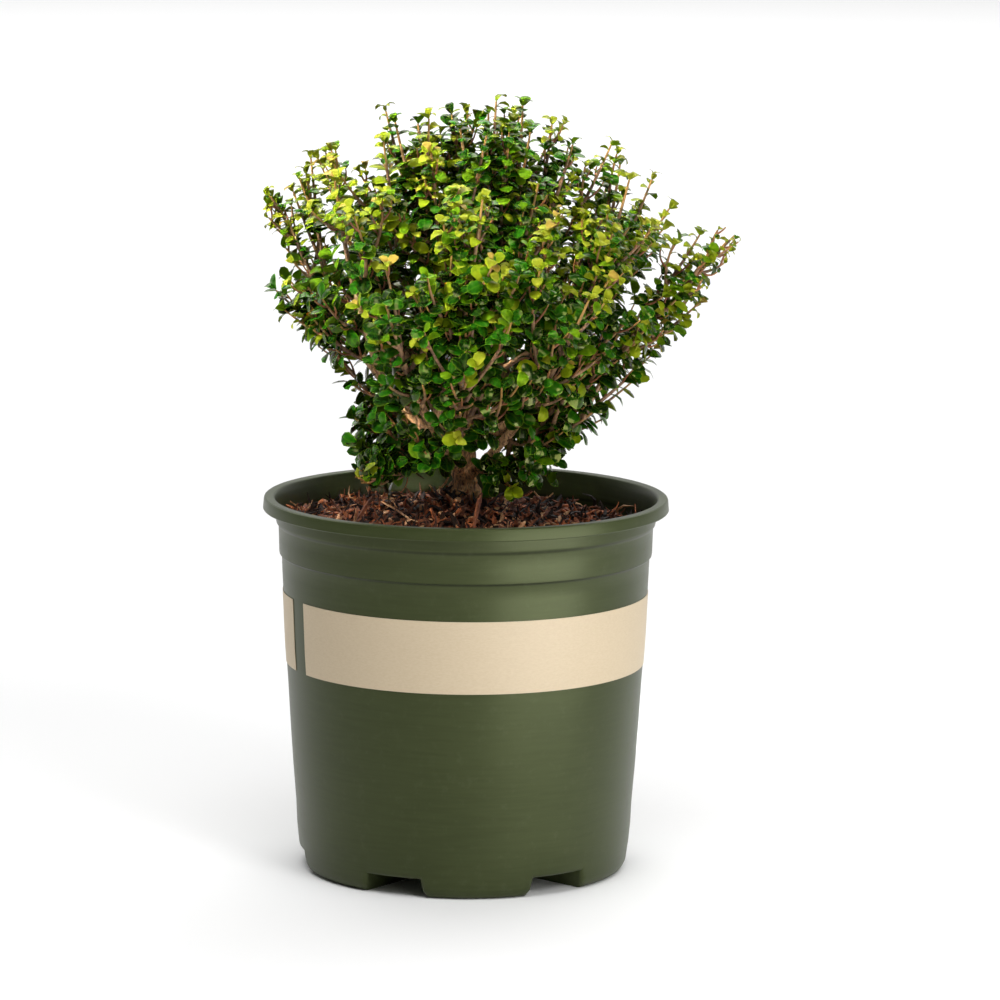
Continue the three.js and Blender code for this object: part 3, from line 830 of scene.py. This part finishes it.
shrub_bark, place = new_finish("shrub bark")
height_mm = place.node("ShaderNodeSeparateXYZ", out=2, Vector=place) * 1000.0
ridges = place.stretched(1, 1, 0.25).clouds(1.3, 6, 0.65)
patches = place.clouds(7, 3)
young = height_mm.between(250, 330)
old_bark = ridges.between(0.34, 0.62).blend(rgb(98, 62, 38), rgb(238, 186, 130))
mottle = (0.5 * ridges + 0.5 * patches).between(0.38, 0.62)
grey_bark = mottle.blend(rgb(134, 96, 64), rgb(228, 188, 142))
surface(
    place,
    Base_Color=young.blend(old_bark, grey_bark),
    Roughness=0.66 + 0.2 * ridges,
    Normal=bumped(place, ridges, 0.7),
)
wood.data.materials.append(shrub_bark)
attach(wood, "root")
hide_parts("trunk", *["bough_" + name for name in limbs])

# Twigs
# Red-brown shoots, 1 to 4 mm thick, leave the boughs and their ends at the golden angle, curve
# upwards and branch again. Each mass keeps to its own space. A shoot is a five-sided tube.
CELL_GIVE = 32
CROWN_FOOT = 222
CROWN_TOP = 438
LEAF_TOP = 452
FAN_FOOT = Vector((0, 10, 226))
LEFT_SHIFT = [
    (236, 6), (258, 6), (269, -8), (280, -11), (290, 0), (298, 0), (310, -2), (342, -2),
    (352, -34), (362, -30), (370, -2), (380, -6), (392, -2), (412, 4), (424, 4), (434, 0),
]
RIGHT_SHIFT = [
    (244, -8), (256, -4), (270, -3), (280, 6), (292, 12), (304, 4), (327, 9),
    (351, 4), (368, 9), (386, -6), (398, -10), (411, -2), (421, -8),
]
BACK_SHIFT = -11
POT_INSIDE = 107
MIX_CLEAR = 4
RIM_CLEAR = 2
MOST_SPREAD = 1.02
LONG_MASS_REACH = 9
limb_ends = [(trunk_line, trunk_radius)]
limb_ends += [(data["limb"], tapering(data["radii"])) for data in limbs.values()]
axis_from, axis_to, axis_radius = [], [], []
for line, radius_at in limb_ends:
    for i in range(6):
        axis_from.append(line.at(i / 6))
        axis_to.append(line.at((i + 1) / 6))
        axis_radius.append(radius_at(i / 6))
axis_from = np.array([tuple(p) for p in axis_from])
axis_span = np.array([tuple(p) for p in axis_to]) - axis_from
axis_radius = np.array(axis_radius)
axis_length = (axis_span**2).sum(1)


def step_at(steps, height):
    return float(np.interp(height, [h for h, _ in steps], [s for _, s in steps]))


class Mass:
    """One mass of foliage: its stem, the middle of its space, and how far out it may reach."""

    def __init__(self, name, data):
        line = data["line"]
        self.name = name
        self.limb = data["limb"]
        self.stem = line.part(LIMB_SHARE + 0.003, 0.94 if name == "leader" else 0.97)
        self.middle = np.array(tuple(line.part(LIMB_SHARE, 0.97).at(0.55)))
        self.long = name in LONG_SHOOTS

    def holds(self, point, clear, spread, top, give=CELL_GIVE):
        """Whether a point is in this mass's space, clear of the mix and of the limbs."""
        p = np.array(tuple(point))
        rivals = others[self.name]
        apart = np.linalg.norm(rivals - self.middle, axis=1)
        nearer = ((p - rivals) ** 2).sum(1) - ((p - self.middle) ** 2).sum()
        if (nearer / (2 * apart)).min() < -give or p[2] > top:
            return False
        inside = math.hypot(p[0], p[1]) < POT_INSIDE
        if p[2] < (mix_level(p[0], p[1]) + MIX_CLEAR if inside else POT_HEIGHT + RIM_CLEAR):
            return False
        away = math.hypot(p[0] - CROWN_X, p[1] - CROWN_Y)
        level = CROWN_FOOT + (p[2] - CROWN_FOOT) / min(spread, MOST_SPREAD)
        rightward = max(0, (p[0] - CROWN_X) / max(away, 1))
        leftward = max(0, (CROWN_X - p[0]) / max(away, 1))
        backward = max(0, (p[1] - CROWN_Y) / max(away, 1))
        shift = leftward**3 * step_at(LEFT_SHIFT, p[2]) + rightward**3 * step_at(RIGHT_SHIFT, p[2])
        shift += BACK_SHIFT * backward**3
        if away > half_width(level) * spread + shift:
            if not self.long or self.stem.off(p).min() > LONG_MASS_REACH:
                return False
        share = np.clip(((p - axis_from) * axis_span).sum(1) / axis_length, 0, 1)
        near = np.linalg.norm(axis_from + axis_span * share[:, None] - p, axis=1)
        return bool((near - axis_radius).min() > clear)


masses = [Mass(name, data) for name, data in limbs.items()]
others = {m.name: np.array([o.middle for o in masses if o is not m]) for m in masses}


def grow_shoot(parent, share, turn, angle, most, least, lift, mass, random):
    """A shoot that leaves its parent, as long as its space allows, or nothing."""
    along, across = frame_at(parent, share, turn)
    start = parent.at(share)
    way = along * math.cos(angle) + across * math.sin(angle)
    fan = ((start - FAN_FOOT).normalized() + UP * 0.2).normalized()
    length = most
    spread = random(0.79, 0.96) if random() < 0.84 else 1.0
    top = CROWN_TOP + (1 if spread == 1 else random(-12, -1))
    while length > least:
        middle = start + way * 0.48 * length
        end = start + (way * (1 - lift) + fan * lift) * length
        shoot = bowed(start, middle, end, 8)
        if all(mass.holds(shoot.at(s), 0.8, spread, top) for s in (0.35, 0.7, 1)):
            return shoot
        length *= 0.84
    return None


WANDS = {
    "limb": {"count": 7, "first": 0.22, "last": 0.97, "angle": 52, "length": 94, "lift": 0.44},
    "stem": {"count": 15, "first": 0.04, "last": 0.95, "angle": 50, "length": 86, "lift": 0.36},
}
INNER_MASSES = ("leader", "top_1", "top_2")
INNER_WAND = {"count": 12, "first": 0.1, "last": 0.97, "angle": 44, "length": 150, "lift": 0.3}
LEAD_TIPS = [
    (-90, 413, 95), (-83, 405, 98), (-88, 394, 105), (-72, 420, 84), (-86, 337, 115),
    (-84, 326, 110), (90, 422, 78), (92, 402, 102), (88, 386, 112), (84, 372, 130),
    (94, 352, 134), (86, 332, 130), (-85, 441, 52), (-60, 440, 16), (75, 447, 12),
    (84, 434, 44), (60, 425, 64), (-50, 427, 68), (88, 300, 102), (92, 284, 92),
    (90, 262, 74), (-88, 262, 69), (-84, 248, 67), (-70, 246, 65), (-20, 433, 26),
    (120, 434, 24), (10, 430, 36), (180, 434, 22), (-100, 433, 34), (40, 431, 30),
]
BASAL_TIPS = [
    (16, 234, 30), (48, 240, 42), (-52, 242, 36), (30, 228, 44), (-70, 230, 58),
    (-34, 246, 39), (-51, 238, 48), (41, 233, 46), (58, 233, 50), (-58, 234, 76),
]
LEAD = {"tips": LEAD_TIPS, "reach": 46, "keep": 0.7}
BASAL = {"tips": BASAL_TIPS, "reach": 18, "keep": 0.3}
STEM_RADII = (1.9, 0.6)
SIDE_RADII = (0.75, 0.42)
TWIG_SIDES = 5
TWIG_TONES = {
    "twigs_old": (rgb(84, 58, 38), rgb(162, 122, 84)),
    "twigs_young": (rgb(112, 62, 34), rgb(162, 102, 58)),
}
shoots = []


def off_axis(place):
    return Vector((place.x - CROWN_X, place.y - CROWN_Y)).length


def openness(place):
    """How bare the crown is at a place: most at the low front, where the limbs show through."""
    forward = max(0, (CROWN_Y - place.y) / max(off_axis(place), 1))
    return forward**2 * max(0, min(1, (345 - place.z) / 60))


def add_shoot(line, mass, order, radii, keep=0):
    shoots.append({"line": line, "mass": mass, "order": order, "radii": radii, "keep": keep})


def add_wand(line, mass, first, random, keep=0):
    """A wand and the short side shoots on it."""
    add_shoot(line, mass, 1, (1.0 + line.length / 120, 0.55), keep)
    inner = max(2, round(line.length / 8))
    for k in range(inner):
        on = 0.1 + 0.76 * k / max(1, inner - 1)
        angle = math.radians(46 * random(0.7, 1.3))
        turn = GOLDEN * (first + k) * 1.7
        side = grow_shoot(line, on, turn, angle, random(7, 19), 5, 0.45, mass, random)
        if side is not None and random() > 0.6 * openness(side.at(0.5)):
            add_shoot(side, mass, 2, SIDE_RADII, keep)


for mass in masses:
    random = Seeded(1000 + 17 * len(shoots))
    add_shoot(mass.stem, mass, 0, STEM_RADII)
    for part, wand in WANDS.items():
        parent = mass.limb if part == "limb" else mass.stem
        if part == "limb" and mass.name in INNER_MASSES:
            wand = INNER_WAND
        for i in range(wand["count"]):
            share = wand["first"] + (wand["last"] - wand["first"]) * i / (wand["count"] - 1)
            angle = math.radians(wand["angle"] * random(0.7, 1.25))
            most = wand["length"] * random(0.6, 1.15)
            turn = 40 + GOLDEN * i
            line = grow_shoot(parent, share, turn, angle, most, 12, wand["lift"], mass, random)
            if line is not None:
                add_wand(line, mass, i, random)
random = Seeded(4711)
parents = [shoot["line"] for shoot in shoots if shoot["order"] < 2]
bare = [mass.limb.part(0, 1, 40) for mass in masses] + [trunk_line]
for kind, hosts in ((LEAD, parents), (BASAL, bare)):
    for i, (bearing, height, reach) in enumerate(kind["tips"]):
        tip = on_outline(bearing, height, reach)
        foot = tip - ((tip - FAN_FOOT).normalized() + UP * 0.2).normalized() * kind["reach"]
        host = min(hosts, key=lambda line: line.off(foot).min())
        start = Vector(host.points[int(host.off(foot).argmin())])
        lead = bowed(start, start.lerp(tip, 0.5) - UP * 0.06 * (tip - start).length, tip, 8)
        home = min(masses, key=lambda m: np.linalg.norm(m.middle - np.array(tuple(tip))))
        add_wand(lead, home, i, random, kind["keep"])


def mark(piece, name, values):
    """Gives every corner of a piece a value that its material reads."""
    piece.data.attributes.new(name, "FLOAT", "POINT").data.foreach_set("value", values)


for name, orders in (("twigs_old", (0, 1)), ("twigs_young", (2,))):
    parts, tips = [], []
    for shoot in shoots:
        if shoot["order"] in orders:
            steps = 4 + round(shoot["line"].length / 8)
            parts.append(tube(shoot["line"], tapering(shoot["radii"]), TWIG_SIDES, steps))
            tips += [*np.repeat(np.linspace(0, 1, steps + 1), TWIG_SIDES), 0, 1]
    piece = joined(name, *stacked(parts), smooth=80)
    mark(piece, "tip", tips)
    twig_bark, place = new_finish(name.replace("_", " "))
    rings = place.clouds(1.6, 4)
    patches = place.clouds(12, 2)
    tip = place.node("ShaderNodeAttribute", {"attribute_name": "tip"}, out=2)
    dark, light = TWIG_TONES[name]
    bark = (0.5 * rings + 0.5 * patches).between(0.35, 0.65).blend(dark, light)
    surface(
        place,
        Base_Color=tip.between(0.6, 1.0).blend(bark, rgb(164, 122, 56)),
        Roughness=0.5 + 0.2 * rings,
        Normal=bumped(place, rings, 0.2),
    )
    piece.data.materials.append(twig_bark)
    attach(piece, "root")

# Leaves
# Small leathery leaves in two ranks on each shoot: rounded, domed and glossy, dark on old wood and
# darker still inside and low in the crown as painted shade, and yellow-green and curled at the
# tips. Each is a thin closed lens, and each tone one piece.
LEAF_LENGTH = 11.2
LEAF_SPACING = 3.7
FIRST_LEAF = (0.2, 0.1, 0.08)
GROWING = (0.8, 1, 0.75)
NEW_GROWTH = ((12, 22), (16, 34), (7, 14))
LEAD_BEYOND = 4
FAR_BEYOND = 16
TURNED_SHARE = 0.0008
YOUNG_KINDS = (3, 4)
LEAF_TONES = {
    "deep": (rgb(6, 26, 3), rgb(15, 50, 6)),
    "dark": (rgb(12, 52, 3), rgb(30, 90, 8)),
    "full": (rgb(50, 87, 4), rgb(92, 127, 12)),
    "fresh": (rgb(88, 108, 8), rgb(126, 137, 20)),
    "young": (rgb(112, 121, 20), rgb(150, 151, 40)),
    "tawny": (rgb(146, 122, 44), rgb(172, 142, 66)),
    "turned": (rgb(150, 62, 10), rgb(206, 118, 20)),
}
STATIONS = ((0.12, 0.17), (0.34, 0.33), (0.6, 0.4), (0.85, 0.26))
ACROSS = (-1, -0.5, 0, 0.5, 1)


def leaf_shape(rise, bend, dome, fold, broad):
    """The corners of a leaf of length 1, its triangles, and how pale each corner is."""

    def corner(u, v, w, deeper=0.0):
        x = (math.sin(rise) - math.sin(rise - bend * u)) / bend
        z = (math.cos(rise - bend * u) - math.cos(rise)) / bend
        y = v * w * (1 - 0.25 * dome * v * v)
        return x, y, z - dome * w * v * v + fold * abs(v) * w - deeper

    corners = [corner(0, 0, 0)]
    pale = [0.6]
    for u, w in STATIONS:
        for v in ACROSS:
            corners.append(corner(u, v, w * broad))
            pale.append(1.0 if abs(v) == 1 else 0.66 if v == 0 else 0.0)
    corners.append(corner(1, 0, 0))
    pale.append(0.9)
    tip = len(corners) - 1
    faces = []
    for j in range(4):
        faces.append((0, 1 + j, 2 + j))
        faces.append((tip, 17 + j, 16 + j))
        for i in range(3):
            a = 1 + 5 * i + j
            faces += [(a, a + 5, a + 6), (a, a + 6, a + 1)]
    under = []
    for u, w in STATIONS:
        under.append(len(corners))
        corners.append(corner(u, 0, w * broad, deeper=0.03 + 0.3 * max(0, dome) * w))
        pale.append(0.9)
    for edge in (0, 4):
        chain = [0] + [1 + 5 * i + edge for i in range(4)] + [tip]
        spine = [0] + under + [tip]
        for i in range(5):
            a, b, c, d = chain[i], chain[i + 1], spine[i], spine[i + 1]
            pairs = [(a, b, d), (a, d, c)] if edge == 0 else [(a, d, b), (a, c, d)]
            faces += [t for t in pairs if len(set(t)) == 3]
    return np.array(corners), np.array(faces), np.array(pale)


leaf_kinds = [
    leaf_shape(0.4, 1.1, 0.22, 0.0, 0.9),
    leaf_shape(0.6, 1.7, 0.22, 0.0, 0.86),
    leaf_shape(0.85, 2.3, 0.14, 0.04, 0.8),
    leaf_shape(0.9, 2.4, 0.05, 0.1, 0.7),
    leaf_shape(1.0, 2.8, 0.0, 0.2, 0.58),
]
random = Seeded(2024)
leaves = {tone: [] for tone in LEAF_TONES}


def past_outline(place):
    return off_axis(place) - half_width(place.z)


def light_at(place):
    """How much light reaches a place: most at the outside and at the top of the crown."""
    outer = min(1, off_axis(place) / half_width(place.z)) ** 2
    return (0.4 + 0.6 * outer) * max(0.04, min(1, (place.z - 292) / 108))


def pick_tone(from_tip, light, growth):
    """The colour of a leaf by its distance from the tip and by the light that it gets."""
    if from_tip < 0.5 * growth and random() < 0.5:
        return "tawny" if random() < 0.09 else "young"
    if from_tip < growth and random() < 0.9:
        return "fresh"
    # Painted shade, partly real: leaves that get less light take the dark and deep greens rather
    # than the full green; older leaves are also darker in themselves.
    if random() < 0.03 + 0.54 * light:
        return "full"
    return "dark" if random() < 0.45 + 0.4 * light else "deep"


for shoot in shoots:
    line = shoot["line"]
    order = shoot["order"]
    first = FIRST_LEAF[order]
    count = max(2, round(line.length * (1 - first) / LEAF_SPACING))
    rank = random(0, 360)
    tip = line.at(1)
    sideward = min(1, abs(tip.x - CROWN_X) / 120)
    grows = random() < (0.02 + 0.8 * light_at(tip) + 0.26 * sideward**2) * GROWING[order]
    if shoot["keep"] and past_outline(tip) > LEAD_BEYOND:
        grows = True
    growth = [random(*reach) for reach in NEW_GROWTH][order] if grows else 0
    stalks = []
    for i in range(count):
        turn = rank + 180 * (i % 2) + random(-35, 35)
        stalks.append((first + (1 - first) * i / count, turn, random(50, 82)))
    for k in range(3):
        stalks.append((1, rank + 90 + 120 * k + random(-30, 30), random(16, 50)))
    for share, turn, angle in stalks:
        along, across = frame_at(line, min(share, 0.98), turn)
        root = line.at(min(share, 0.995))
        from_tip = (1 - share) * line.length
        light = light_at(root)
        angle = math.radians(angle)
        beyond = past_outline(root) > FAR_BEYOND
        size = LEAF_LENGTH * (1.26 - 0.38 * light) * random(0.7, 1.14) * (0.62 if beyond else 1)
        if from_tip < 9:
            size *= 0.84 + 0.018 * from_tip
        way = along * math.cos(angle) + across * math.sin(angle)
        face = along * math.sin(angle) - across * math.cos(angle)
        outward = Vector((root.x - CROWN_X, root.y - CROWN_Y, 0)).normalized()
        upward = UP * (0.1 + 0.4 * light * min(1, from_tip / 16))
        rolled = across.cross(along) * random(-0.5, 0.5)
        face = (face + upward + outward * 0.1 + rolled).normalized()
        way = (way - face * way.dot(face)).normalized()
        side = face.cross(way)
        reach_out = 1.18 if shoot["keep"] else random(0.98, 1.07) if share < 1 else 1.1
        give = 3 * CELL_GIVE if shoot["keep"] else CELL_GIVE
        if not shoot["mass"].holds(root + way * size * 0.8, 0.5, reach_out, LEAF_TOP, give):
            continue
        keep = 0.31 - 0.18 * openness(root) + 0.9 * light + shoot["keep"]
        keep -= 0.34 * min(1, abs(root.x - CROWN_X) / 110) ** 2
        if random() > keep + (0.4 if from_tip < 8 else 0):
            continue
        tone = pick_tone(from_tip, light, growth)
        if random() < TURNED_SHARE:
            tone = "turned"
            size *= 0.8
        if tone in ("young", "tawny"):
            kind = YOUNG_KINDS[random() < 0.5]
            size *= 0.9 + 0.3 * light
        else:
            kind = int(random(0, 2.9) + 1.7 * light)
        broad = random(0.84, 1.12)
        leaves[tone].append((kind, size, broad, way, side, face, root))

LEAF_GLOSS = {"deep": (0.42, 0.4), "dark": (0.4, 0.3), "full": (0.22, 0.1), "fresh": (0.14, 0.1)}
YOUNG_GLOSS = (0.1, 0.1)
PALE_EDGE = rgb(150, 186, 38)
for tone, rows in leaves.items():
    corners, faces, pale, count = [], [], [], 0
    for kind, size, broad, way, side, face, root in rows:
        shape, triangles, paleness = leaf_kinds[kind]
        grown_shape = shape * (size, size * broad, size)
        corners.append(grown_shape @ np.array([way, side, face]) + np.array(root))
        faces.append(triangles + count)
        pale.append(paleness)
        count += len(shape)
    piece = joined("leaves_" + tone, np.vstack(corners), np.vstack(faces), smooth=62)
    mark(piece, "pale", np.concatenate(pale))
    leaf_finish, place = new_finish(tone + " leaf")
    dark, light = LEAF_TONES[tone]
    patches = place.clouds(16, 3)
    speckle = place.clouds(2.4, 3)
    paleness = place.node("ShaderNodeAttribute", {"attribute_name": "pale"}, out=2)
    rim = paleness * paleness
    blade = (0.65 * patches + 0.35 * speckle).between(0.36, 0.64).blend(dark, light)
    edge = [0.66 * a + 0.34 * b for a, b in zip(light, PALE_EDGE)]
    gloss, blue = LEAF_GLOSS.get(tone, YOUNG_GLOSS)
    surface(
        place,
        Base_Color=(0.9 * rim * rim).blend(blade, edge),
        Roughness=0.1 + 0.1 * speckle,
        Specular_IOR_Level=gloss,
        Specular_Tint=(1.0, 1.0, blue, 1),
        Normal=bumped(place, speckle, 0.06),
    )
    piece.data.materials.append(leaf_finish)
    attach(piece, "root")
    if tone == "full":
        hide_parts(*["foliage_" + name for name in limbs])

# Floor and lights
# A plain white floor in a dim room, with soft lamps at the front right, over the top and behind,
# a narrow one on the crown, and a card at the right, whose gloss shows on the pot.
bpy.ops.object.select_all(action="DESELECT")
bpy.ops.mesh.primitive_plane_add(size=80)
floor = bpy.context.object
floor.name = "floor"
white_floor, place = new_finish("white floor")
surface(place, Base_Color=(0.95, 0.95, 0.95, 1), Roughness=0.9, Specular_IOR_Level=0.1)
floor.data.materials.append(white_floor)


def soft_lamp(name, bearing, distance, height, width, tall, radiance, aim=(0, 0, 260), cone=180):
    """A rectangle of even light of this radiance, its places and sizes in metres."""
    place = at_bearing(bearing, distance * 1000, height * 1000)
    bpy.ops.object.light_add(type="AREA", location=place)
    lamp = bpy.context.object
    lamp.name = name
    lamp.data.shape = "RECTANGLE"
    lamp.data.size = width
    lamp.data.size_y = tall
    lamp.data.energy = radiance * math.pi * width * tall
    lamp.data.spread = math.radians(cone)
    lamp.rotation_euler = (Vector(aim) * MM - place).to_track_quat("-Z", "Y").to_euler()
    return lamp


card = soft_lamp("card", 44, 0.5, 0.17, 0.5, 0.33, 1.6, aim=(0, 0, 120))
card.visible_camera = False
sheen = soft_lamp("sheen", 44, 0.51, 0.17, 0.5, 0.33, 4.4, aim=(0, 0, 120))
sheen.visible_camera = False
sheen.visible_diffuse = False
soft_lamp("key", 34, 2.0, 1.7, 0.74, 0.74, 9.2)
crown = soft_lamp("crown", -40, 1.6, 1.5, 0.25, 0.25, 2.9, aim=(-34, 0, 400), cone=8)
crown.visible_glossy = False
soft_lamp("over", -10, 1.0, 2.6, 1.6, 1.6, 4.4)
soft_lamp("back", 180, 5.0, 5.0, 9.0, 6.0, 2.5, aim=(0, 5600, 0))
world = bpy.context.scene.world or bpy.data.worlds.new("studio")
bpy.context.scene.world = world
world.use_nodes = True
world.node_tree.nodes.clear()
sky = Shade(world.node_tree, None)
direction = sky.node("ShaderNodeTexCoord", out=0)
depth = direction.node("ShaderNodeSeparateXYZ", out=1, Vector=direction)
strength = 0.1 + 0.6 * depth.between(-0.05, 0.8)
glow = direction.node("ShaderNodeBackground", Color=(1, 1, 1, 1), Strength=strength)
glow.node("ShaderNodeOutputWorld", Surface=glow)
bpy.context.scene.view_settings.view_transform = "Standard"
